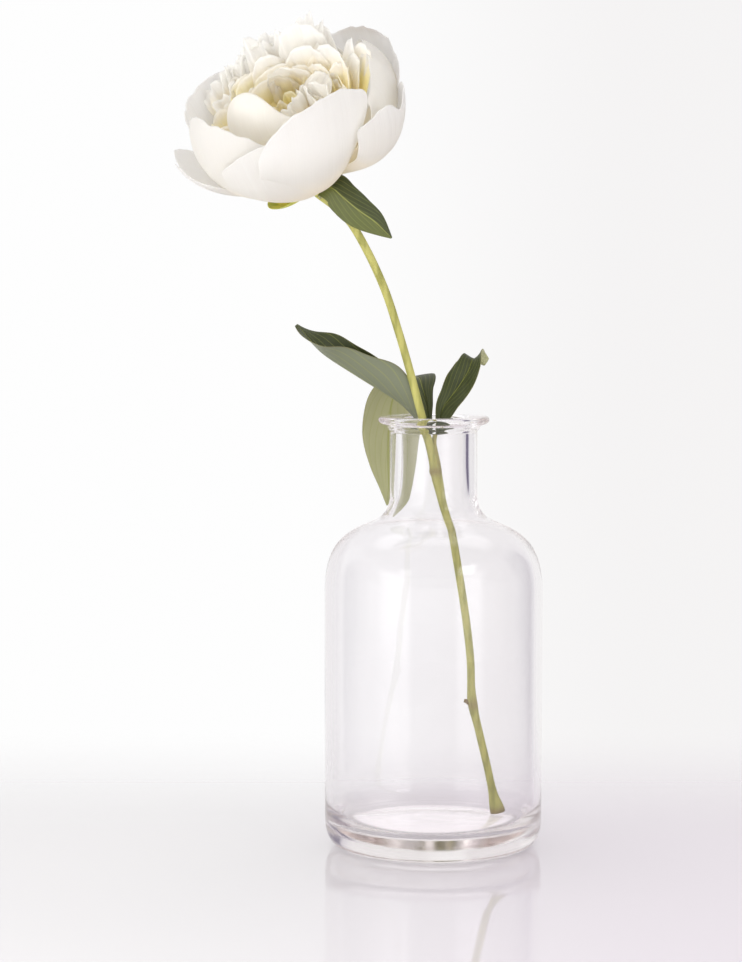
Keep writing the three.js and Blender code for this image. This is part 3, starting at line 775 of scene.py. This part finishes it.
def petalSheet(petal, rows, columns):
    # A midrib whose tilt from the axis runs along tilts is added up from the root. Across it the petal is an
    # arc of width over cup times sine and one minus cosine of v times cup, moved by its unevenness and
    # turned by its yaw.
    p = {**petalDefaults, **petal}
    steps = 40
    u, v, a = petalGrid(p, rows, columns)
    slope = np.radians(along(p["tilts"], (np.arange(steps) + 0.5) / steps))
    radii = p["root"] + np.concatenate([[0], np.cumsum(p["length"] / steps * np.sin(slope))])
    heights = p["lift"] + np.concatenate([[0], np.cumsum(p["length"] / steps * np.cos(slope))])
    width = p["halfWidth"] * mix(p["rootWidth"], 1, 1 - (1 - np.minimum(1, a / p["widest"])) ** 2)
    width = width * mix(*p["slim"], smoothStep(-0.5, 0.5, v))
    cup = np.radians(along(p["cups"], a))
    sideways, inward = width / cup * np.sin(v * cup), width / cup * (1 - np.cos(v * cup))
    out = unevenness(p, u, v) - inward + p["side"] * v * smoothStep(0.1, 0.6, a)
    yaw = np.radians(p["yaw"]) * smoothStep(0, 0.5, a)
    sideways, out = sideways * np.cos(yaw) + out * np.sin(yaw), out * np.cos(yaw) - sideways * np.sin(yaw)
    tilt, turn = np.radians(along(p["tilts"], a)), np.radians(p["turn"] + p["twist"] * a)
    grid = np.linspace(0, 1, steps + 1)
    radius = np.interp(a, grid, radii) + out * np.cos(tilt)
    height = np.interp(a, grid, heights) - out * np.sin(tilt)
    right = radius * np.cos(turn) - sideways * np.sin(turn)
    back = radius * np.sin(turn) + sideways * np.cos(turn)
    sheet = np.array(bloom["base"]) + right[..., None] * east + back[..., None] * north
    return sheet + height[..., None] * outward, a, v


def alongPetal(sheet, a):
    # how pale a petal is, from 0 at its root to 0.85 at its rim; tone takes some petals on to 1
    return 0.85 * a


def petalsPiece(name, groups, thickness, material, nodes, hub, paleness=alongPetal):
    # the blades of several groups of petals, each group with its own grid, and the lathe they stand on
    points, hubFaces = hub
    count = len(points)
    parts, faces = [points], list(hubFaces)
    uvs, reaches = [np.zeros((count, 2))], [np.zeros(count)]
    for petals, (rows, columns) in groups:
        template = bladeFaces(rows, columns)
        for petal in petals:
            sheet, a, v = petalSheet(petal, rows, columns)
            parts.append(bladeOf(sheet, thickness, bloom["rimShare"] * thickness))
            faces += (template + count).tolist()
            # each petal reads its own stretch of the vein pattern
            down, over = [step * len(parts) for step in bloom["uvStep"]]
            flat = np.stack([a + down, v * petal["halfWidth"] / bloom["uvWidth"] + over], -1).reshape(-1, 2)
            uvs.append(np.tile(flat, (2, 1)))
            pale = np.clip(paleness(sheet, a) + petal.get("tone", 0), 0, 1)
            reaches.append(np.tile(pale.ravel(), 2))
            count += len(parts[-1])
    fields = {"reach": np.concatenate(reaches)}
    makePiece(name, np.vstack(parts), faces, np.vstack(uvs), fields, material, nodes)


def bloomLathe(profile, segments):
    # a lathe turned to stand along the bloom's axis at its base
    points, faces = latheOf(np.asarray(profile, float), segments)
    return np.array(bloom["base"]) + points @ np.stack([east, north, outward]), faces


guardShape = {
    "grid": (72, 57),
    "thickness": 0.5,
    "segments": 32,
    "hub": [[0, -1.2], [6.4, -1.2], [7, -0.6], [7, 2.4], [6.4, 3], [0, 3]],
}

guardPetals = [
    # front: left, right, and a lower one that overlaps both
    petalOf(
        -132, 76, 36, [86, 60, 9, -36], [63, 57, 62], root=5.4, sideTop=0.69, twist=-14, side=-2.7,
        ruffle=0.35, waves=1.4, jag=0.024,
    ),
    petalOf(
        -79, 83, 30, [97, 51, 27, -2], [70, 50, 26], root=3.5, sideTop=0.77, twist=14, side=-3,
        ruffle=0.2, phase=2, jag=0.01,
    ),
    petalOf(
        -92, 67, 33, [98, 54, 35, -16], [60, 50, 58], root=6.1, sideTop=0.76, side=-4, ruffle=0.1,
        jag=0.008,
    ),
    # left: one spread low and one standing
    petalOf(
        -177, 64, 23, [89, 72, 48, 7], [65, 47, 31], root=5.6, sideTop=0.65, notch=0.09, side=-1.5,
        ruffle=0.3, phase=1, jag=0.015,
    ),
    petalOf(
        159, 71, 33, [90, 54, 8, 14], [60, 55, 44], root=3.7, sideTop=0.78, twist=-13, ruffle=0.5,
        waves=2.4, jag=0.015, tone=0.04,
    ),
    # back
    petalOf(
        121, 68, 30, [90, 54, 11, 1], [60, 46, 41], root=5.1, sideTop=0.67, twist=-16, ruffle=0.6,
        phase=3, jag=0.015,
    ),
    petalOf(
        84, 69, 32, [90, 58, 15, 3], [60, 46, 34], root=4.3, sideTop=0.74, ruffle=0.6, phase=5,
        jag=0.015,
    ),
    # right: a tall one behind, one rolled in at its tip, and one low outside
    petalOf(
        45, 78, 35, [91, 66, 31, -8], [62, 43, 32], root=5.3, sideTop=0.74, twist=-4, ruffle=0.5,
        waves=3, jag=0.015, tone=0.07,
    ),
    petalOf(
        2, 81, 34, [83, 72, 19, -50], [60, 51, 59], root=6.3, sideTop=0.89, twist=13, side=1.9,
        ruffle=0.15, jag=0.008, slim=(1, 0.62),
    ),
    petalOf(
        -8, 67, 24, [87, 88, 23, 18], [80, 45, 56], root=7.9, sideTop=0.8, notch=0.12, twist=-14,
        side=2.3, ruffle=0.3, jag=0.015,
    ),
]


def makeGuardPetals():
    look = petalLook
    stops = [
        (0.0, look["warm"]), (0.27, look["cream"]), (0.5, look["outer"]), (0.85, look["outerEdge"]),
        (1.0, look["greyRim"]),
    ]
    petalsPiece(
        "petals_outer", [(guardPetals, guardShape["grid"])], guardShape["thickness"],
        petalMaterial("petalWhite", stops, look["translucence"]), ["guard_petals"],
        bloomLathe(guardShape["hub"], guardShape["segments"]),
    )


heart = {
    "rolledGrid": (40, 33),
    "standingGrid": (30, 25),
    "fillGrid": (22, 17),
    "thickness": 0.4,
    "seed": 11,
    "coreRadius": 11.0,
    "domeSteps": 20,
    "segments": 32,
    "crown": (47, 0.3, 0.1),  # height where petals turn white: at the middle, per mm north, per mm east
    "yellowDepth": 17.0,  # how far below it they are deep yellow
    "yellowing": 1.6,
    "deepYellowing": 0.45,
    "facing": 0.5,  # share of the turn that would make a petal look straight to the south
    "facingLimit": 110,
    "standing": {
        "root": 8, "lift": 4, "sideTop": 0.72, "rootWidth": 0.5, "widest": 0.8, "cups": [40, 30, 24],
        "frill": 0.3, "jag": 0.012,
    },
    "rings": [
        {"count": 11, "radius": 30, "root": 9, "below": 6, "halfWidth": 12},
        {"count": 9, "radius": 22, "root": 7, "below": 7, "halfWidth": 11},
        {"count": 7, "radius": 14, "root": 5, "below": 9, "halfWidth": 9},
        {"count": 4, "radius": 6, "root": 2, "below": 10, "halfWidth": 8},
    ],
}

rolledPetal = petalOf(
    -122, 60, 22, [32, 19, 13, -75], [60, 53, 66], root=10.9, sideTop=0.61, twist=-10, side=-3.4,
    tone=1.1,
)


def petalTo(tip, halfWidth, bend, **more):
    # A petal by its tip: east, north and up from the base of the bloom. The chord from root to tip gives the
    # tilt and, times the bend over its sine, the length. The tilt starts one bend further out than the chord
    # and ends one bend further in, then curls on by curl. Petals of the north half are yawed to look more to
    # the south.
    shape = {**heart["standing"], "halfWidth": halfWidth, **more}
    e, n, h = tip
    out, rise = math.hypot(e, n) - shape["root"], h - shape["lift"]
    chord, bow = math.degrees(math.atan2(out, rise)), math.radians(bend)
    shape["turn"] = math.degrees(math.atan2(n, e))
    shape["length"] = math.hypot(out, rise) * (bow / math.sin(bow) if bend else 1)
    shares = (1, 0.5, 0, -0.6) if "curl" in shape else (1, 0.4, -0.4, -1)
    shape["tilts"] = [chord + bend * share for share in shares]
    if "curl" in shape:
        shape["tilts"].append(chord - bend + shape["curl"])
    facing = (90 - shape["turn"] + 180) % 360 - 180
    if abs(facing) < heart["facingLimit"]:
        shape["yaw"] = heart["facing"] * facing
    return shape


standingPetals = [
    # the crest at the back
    petalTo((16.1, 21, 64.5), 12.5, 18, sideTop=0.8, ruffle=1.1, waves=1.8, tone=0.5, crumple=0.5),
    petalTo((22.4, 26.6, 66), 5.5, -6, sideTop=0.3, crumple=0.7, tone=0.2),
    petalTo((17.1, 27.2, 64.5), 6, 6, sideTop=0.5, crumple=0.8, phase=2, tone=0.2),
    petalTo((27.3, 22.4, 62), 4, -14, sideTop=0.3, crumple=0.6, tone=0.2),
    petalTo((25.3, 22, 60.5), 12, 12, sideTop=0.3, ruffle=0.5, tone=0.5, phase=2),
    petalTo((2.9, 29.6, 62), 9, 14, notch=0.12, notchAt=0.2, ruffle=1, tone=0.35, phase=1),
    petalTo((-1.7, 34.2, 60), 7, 16, crumple=1.2, jag=0.03, tone=0.25, phase=3),
    petalTo((-9.4, 35.7, 60.5), 7, -30, sideTop=0.45, ruffle=1.2, phase=3, tone=0.15),
    petalTo((-6.1, 32, 58), 10, 24, crumple=1.6, jag=0.04, phase=4, tone=0.4),
    petalTo((-12.2, 33.5, 57.5), 8, 16, crumple=1.6, jag=0.05, phase=5, tone=0.3),
    petalTo((-10.8, 28.6, 55), 9, 26, crumple=1.8, jag=0.04, phase=2, tone=0.35),
    petalTo((-19.1, 29.9, 53.5), 8, 14, crumple=1.6, jag=0.05, phase=1.4, tone=0.35),
    petalTo((-15.1, 28.9, 53.5), 8, 22, crumple=1.8, jag=0.04, phase=0.4, tone=0.35),
    petalTo((-23.1, 29.2, 51.5), 8, 12, crumple=1.4, jag=0.04, phase=2.4, tone=0.2),
    # broad petals in front of the crest, yellow below their rims
    petalTo((6.4, 13.2, 56), 11, 14, curl=-70, sideTop=0.8, ruffle=0.7, waves=1, phase=1, tone=0.3),
    petalTo((16.2, 12.4, 57), 12, 16, sideTop=0.8, ruffle=0.8, phase=2),
    petalTo((26.7, 6.7, 56.5), 13, 18, sideTop=0.7, ruffle=0.5, phase=4),
    petalTo((-2.6, 20.6, 55.5), 10, 20, crumple=1, phase=5, tone=0.1),
    petalTo((2.3, 15.6, 51), 14, 18, sideTop=0.85, ruffle=0.7, phase=3, tone=-0.15),
    petalTo((-7.8, 20.6, 50), 14, 20, sideTop=0.85, ruffle=0.8, phase=1, tone=-0.2),
    petalTo((-15.3, 21.7, 49), 11, 20, sideTop=0.75, ruffle=0.8, phase=4, tone=-0.2),
    petalTo((11.3, 10.8, 50), 9, 18, sideTop=0.7, phase=2, tone=-0.1),
    petalTo((24.2, 0.8, 45), 8, -40, root=13, sideTop=0.8, ruffle=0.3, tone=0.7),
    petalTo((0, 12.3, 46), 10, 20, sideTop=0.8, ruffle=0.9, phase=3, tone=0.02),
    petalTo((-5.6, 13.6, 44.5), 8, 16, sideTop=0.7, ruffle=0.6, phase=5, tone=0.02),
    petalTo((3.8, 4.6, 42), 7, 14, sideTop=0.6, crumple=0.6, phase=1, tone=-0.35),
    petalTo((-2.9, 11, 48), 12, 22, sideTop=0.85, ruffle=0.5, phase=2, tone=-0.12),
    petalTo((-3.9, 16.3, 47), 6, 16, crumple=1.2, jag=0.05, phase=1, tone=-0.05),
    petalTo((-12.6, 15.5, 45), 6, 16, crumple=1.2, jag=0.05, phase=5, tone=0.05),
    petalTo((-20.8, 21.6, 48), 7, 14, crumple=1.2, jag=0.04, phase=3, tone=0.3),
    petalTo((19.6, 5.9, 50), 10, 16, sideTop=0.7, ruffle=0.5, phase=5, tone=-0.1),
    # along the front right outer petal
    petalTo((18.2, -3.4, 46), 9, 16, crumple=1.4, jag=0.04, phase=4, tone=0.4),
    petalTo((12.5, -2.8, 45), 8, 16, crumple=1.6, jag=0.05, phase=1, tone=0.4),
    petalTo((7.6, -2.8, 43), 7, 16, crumple=1.6, jag=0.05, phase=2, tone=0.35),
    petalTo((3.7, -6.9, 41), 7, 14, crumple=1.4, jag=0.04, phase=3, tone=0.3),
    # against the right and left outer petals
    petalTo((38.3, 2.4, 50), 8, 8, sideTop=0.35, phase=2, tone=0.45),
    petalTo((42.3, 2.4, 48), 8, 10, sideTop=0.4, phase=3, tone=0.45),
    petalTo((38.5, 6.7, 55.5), 6, 6, sideTop=0.4, crumple=0.8, tone=0.35),
    petalTo((43.4, 3.9, 52), 9, 8, sideTop=0.7, phase=3, tone=-0.1),
    petalTo((31.4, 0.1, 48.5), 8, 10, crumple=1.2, jag=0.04, phase=3, tone=-0.1),
    petalTo((-29, 17.5, 44), 8, 10, crumple=1.6, jag=0.05, phase=2, tone=0.4),
    petalTo((-37.1, 25.7, 48), 6, 2, sideTop=0.5, phase=3, tone=0.3),
    petalTo((-32.7, 15.8, 38), 9, 8, crumple=1.4, jag=0.06, phase=5, tone=-0.1),
    petalTo((-28.4, 15.5, 40), 8, 8, crumple=1.4, jag=0.05, phase=1, tone=0.1),
    petalTo((-29.6, 25.8, 49), 9, 10, crumple=1.4, jag=0.03, phase=4, tone=0.15),
]


def crownHeight(e, n):
    # the height at which a petal is white, a plane that rises to the north and a little to the east
    level, northwards, eastwards = heart["crown"]
    return level + northwards * n + eastwards * e


def fillPetals():
    # rings of crumpled petals whose tips end somewhat below the crown, each moved by its own draws
    draws = np.random.default_rng(heart["seed"])
    petals = []
    for r, ring in enumerate(heart["rings"]):
        for k in range(ring["count"]):
            d = draws.random(8)
            turn = 2 * math.pi * (k + 0.5 * (r % 2) + 0.5 * (d[0] - 0.5)) / ring["count"]
            radius = ring["radius"] * mix(0.88, 1.08, d[1])
            e, n = radius * math.cos(turn), radius * math.sin(turn)
            petals.append(petalTo(
                (e, n, crownHeight(e, n) - ring["below"] * mix(0.3, 1.5, d[2])),
                ring["halfWidth"] * mix(0.7, 1.2, d[3]), mix(10, 36, d[4]), root=ring["root"],
                notch=0.12 * d[5], crumple=mix(0.8, 1.8, d[6]), ruffle=0.8, phase=6.28 * d[7], frill=0.6,
                jag=0.02,
            ))
    return petals


def underCrown(sheet, a):
    # white at the rim and yellower towards the root, and yellower still below the crown's height
    place = sheet - np.array(bloom["base"])
    e, n, h = place @ east, place @ north, place @ outward
    below = np.clip((h - crownHeight(e, n)) / heart["yellowDepth"], -1, 0)
    return 1 - heart["yellowing"] * (1 - a) + heart["deepYellowing"] * below


def makeHeart():
    # the petals stand round a dome whose profile is the core's radius times cosine and sine
    look = petalLook
    stops = [(0.1, look["deep"]), (0.4, look["warm"]), (0.68, look["cream"]), (0.92, look["pale"])]
    radius = heart["coreRadius"]
    angle = np.linspace(-0.5 * np.pi, 0.5 * np.pi, heart["domeSteps"])
    dome = np.stack([radius * np.cos(angle), radius + radius * np.sin(angle)], -1)
    groups = [
        ([rolledPetal], heart["rolledGrid"]), (standingPetals, heart["standingGrid"]),
        (fillPetals(), heart["fillGrid"]),
    ]
    petalsPiece(
        "petals_heart", groups, heart["thickness"],
        petalMaterial("petalCream", stops, look["innerTranslucence"]), ["inner_petals"],
        bloomLathe(dome, heart["segments"]), underCrown,
    )


calyx = {
    "grid": (30, 25),
    "thickness": 0.6,
    "segments": 40,
    "cup": [[0, -7.4], [2, -7.4], [2.7, -6.2], [4, -4.4], [4.9, -2.8], [4.6, -1.6], [0, -1.6]],
    "shared": {
        "root": 2.6, "lift": -2.4, "halfWidth": 9, "tilts": [102, 88, 64], "cups": [60, 46, 40],
        "sideTop": 0.5,
    },
    "sepals": [
        {"turn": -156, "length": 21, "lift": -4, "halfWidth": 11}, {"turn": -75, "length": 9},
        {"turn": 8, "length": 12}, {"turn": 80, "length": 14}, {"turn": 150, "length": 19},
    ],
}


def makeCalyx():
    sepals = [{**calyx["shared"], **sepal} for sepal in calyx["sepals"]]
    petalsPiece(
        "calyx_cup", [(sepals, calyx["grid"])], calyx["thickness"], calyxMaterial(), ["calyx"],
        bloomLathe(calyx["cup"], calyx["segments"]),
    )


studio = {
    "floorColours": (srgb(208, 206, 207), srgb(208, 201, 208)),  # left and right of the vase
    "floorStops": (0.2, 0.75),
    "floorSpan": 0.4,  # metres over which the stops run, with the vase in the middle
    "floorRoughness": 0.05,
    "floorIor": 1.5,
    "floorDrop": 0.15,  # under the vase, so that the two faces don't coincide
    "floorSize": 1600.0,
    "fadeBehind": (10.0, 310.0),  # how far behind the vase the floor turns into the white backdrop
    "fadeAround": (500.0, 900.0),
    "paintedPoolColour": srgb(250, 246, 248),  # a painted pool of light where the glass would gather light under the base
    "paintedPoolCentre": (0, 8, 0),  # light from the camera's side gathers a little behind the middle
    "paintedPoolRadius": (37.0, 43.0),
    # painted glow: the pool gives off light of its own
    "paintedPoolGlow": 0.29,
    "roomShades": [(0.0, (0.7, 0.68, 0.68, 1)), (0.3, (0.82, 0.8, 0.81, 1)), (0.55, (0.99, 0.99, 0.99, 1))],
    "sensorMm": 36,
    "lensMm": 105.5,
    "cameraPlace": (-29.0, -1300.0, 282.5),
    "cameraDip": 4.93,
    "lampAim": (-55, -33, 310),
    "bounces": {
        "max_bounces": 160, "diffuse_bounces": 16, "glossy_bounces": 160,
        "transmission_bounces": 160, "transparent_max_bounces": 32,
    },
}


def makeFloor():
    # a square that fades out behind and around, with a painted, glowing pool of light under the glass
    size, z = studio["floorSize"] * mm, -studio["floorDrop"] * mm
    mesh = bpy.data.meshes.new("floor")
    corners = [(-size, -size, z), (size, -size, z), (size, size, z), (-size, size, z)]
    mesh.from_pydata(corners, [], [(0, 1, 2, 3)])
    floor = addObject("floor", mesh)
    material, tree, shader = newMaterial("paleFloor")
    east, north, _ = xyzOf(tree, objectOf(tree))
    across = maths(tree, "MULTIPLY_ADD", east, 1 / studio["floorSpan"], 0.5)
    plain = ramp(tree, across, list(zip(studio["floorStops"], studio["floorColours"])))
    inner, outer = studio["paintedPoolRadius"]
    # painted light: the pool is a lighter base colour that also glows, standing in for light gathered by the
    # glass
    paintedPool = windowOf(tree, distanceFrom(tree, studio["paintedPoolCentre"]), 0.0, inner * mm, (outer - inner) * mm)
    feedAll(tree, shader, {
        "Base Color": blendColours(tree, paintedPool, plain, studio["paintedPoolColour"]),
        "Roughness": studio["floorRoughness"], "IOR": studio["floorIor"],
        "Emission Color": studio["paintedPoolColour"], "Emission Strength": times(tree, paintedPool, studio["paintedPoolGlow"]),
    })
    behind = smoothRange(tree, north, *[d * mm for d in studio["fadeBehind"]])
    around = smoothRange(tree, distanceFrom(tree, (0, 0, 0)), *[d * mm for d in studio["fadeAround"]])
    showMix(tree, larger(tree, behind, around), shader, made(tree, "BsdfTransparent", {}))
    mesh.materials.append(material)


# patches of the studio by direction from the vase: centre, half size and soft edge along X, along Y and
# along Z, then the colour
patches = {
    "greyRight": ((0.57, 0.47, 0.13), (1, 1, 0.1), (0, 1, 1), (0.912, 0.9, 0.9)),
    "greyLeft": ((-0.42, 0.2, 0.08), (1, 1, 0.1), (0, 1, 1), (0.88, 0.86, 0.87)),
    "frontWall": ((0, 1, 1), (-1, 0.75, 0.2), (-0.15, 0.2, 0.1), (1.06, 1.04, 1.05)),
    "ceiling": ((0, 1, 1), (-0.3, 0.5, 0.3), (1, 0.35, 0.2), (0.64, 0.63, 0.63)),
    "backTop": ((0, 0.5, 0.2), (0.4, 0.25, 0.15), (1, 0.2, 0.1), (1.55, 1.53, 1.54)),
    "shadeRight": ((0.92, 0.2, 0.12), (0.3, 0.35, 0.2), (0.1, 0.4, 0.3), (0.76, 0.74, 0.78)),
    "shadeLeft": ((-0.98, 0.07, 0.06), (0.2, 0.3, 0.2), (0.1, 0.4, 0.3), (0.76, 0.74, 0.75)),
    "leftBox": ((-0.66, 0.14, 0.12), (-0.7, 0.5, 0.1), (-0.05, 0.35, 0.16), (1.9, 1.88, 1.88)),
    "rightBox": ((0.6, 0.12, 0.12), (-0.7, 0.5, 0.1), (-0.05, 0.35, 0.16), (1.7, 1.68, 1.7)),
    "rightLamp": ((0.54, 0.09, 0.07), (-0.6, 0.3, 0.1), (0.47, 0.08, 0.06), (3.2, 3.2, 3.2)),
    "leftLamp": ((-0.5, 0.06, 0.05), (-0.6, 0.3, 0.1), (0.42, 0.05, 0.05), (1.8, 1.8, 1.8)),
    "flag": ((0.87, 0.08, 0.06), (0.4, 0.22, 0.15), (0.1, 0.3, 0.2), (0.12, 0.1, 0.18)),
}


def makeWorld():
    # a white studio that darkens towards the camera, where each patch lays its colour over by the product of
    # its three windows
    world = bpy.data.worlds.new("studio")
    bpy.context.scene.world = world
    world.use_nodes = True
    tree = world.node_tree
    ways = xyzOf(tree, made(tree, "TexCoord", {}, "Generated"))
    colour = ramp(tree, maths(tree, "MULTIPLY_ADD", ways[1], 0.5, 0.5), studio["roomShades"])
    for *spans, tint in patches.values():
        share = 1.0
        for way, span in zip(ways, spans):
            share = times(tree, share, windowOf(tree, way, *span))
        colour = blendColours(tree, share, colour, (*tint, 1))
    feedAll(tree, tree.nodes["Background"], {"Color": colour, "Strength": 1.0})


# place and size in millimetres, power in watts
lamps = {
    "overBloom": {"place": (-380, -440, 1120), "size": (700, 700), "power": 4.6},
    "lowFill": {"place": (-260, -420, 20), "size": (600, 400), "power": 2.4},
    "leftFill": {"place": (-800, -100, 300), "size": (400, 400), "power": 0.9},
    "rightFill": {"place": (700, -450, 260), "size": (500, 400), "power": 1.3},
}


def makeLamps():
    for name, lamp in lamps.items():
        light = bpy.data.lights.new(name, "AREA")
        light.shape = "RECTANGLE"
        light.size, light.size_y = [s * mm for s in lamp["size"]]
        light.energy = lamp["power"]
        holder = addObject(name, light)
        holder.location = Vector(lamp["place"]) * mm
        aim = Vector(studio["lampAim"]) * mm - holder.location
        holder.rotation_euler = aim.to_track_quat("-Z", "Y").to_euler()
        holder.visible_camera = False
        holder.visible_glossy = holder.visible_transmission = False  # the glass shows the room alone


def makeCamera():
    camera = bpy.data.cameras.new("camera")
    camera.sensor_width = studio["sensorMm"]
    camera.lens = studio["lensMm"]
    holder = addObject("camera", camera)
    holder.location = [c * mm for c in studio["cameraPlace"]]
    holder.rotation_euler = (math.radians(90 - studio["cameraDip"]), 0, 0)
    bpy.context.scene.camera = holder


def setLight():
    # white petals and thick glass need many bounces before the light in them is spent
    scene = bpy.context.scene
    scene.view_settings.view_transform = "Standard"
    for name, count in studio["bounces"].items():
        setattr(scene.cycles, name, count)


makeCamera()
makeWorld()
makeLamps()
makeFloor()
print("stage: camera, world, lamps and floor")
makeVase()
makeStem()
makeLeaves()
makeCalyx()
makeGuardPetals()
makeHeart()
setLight()
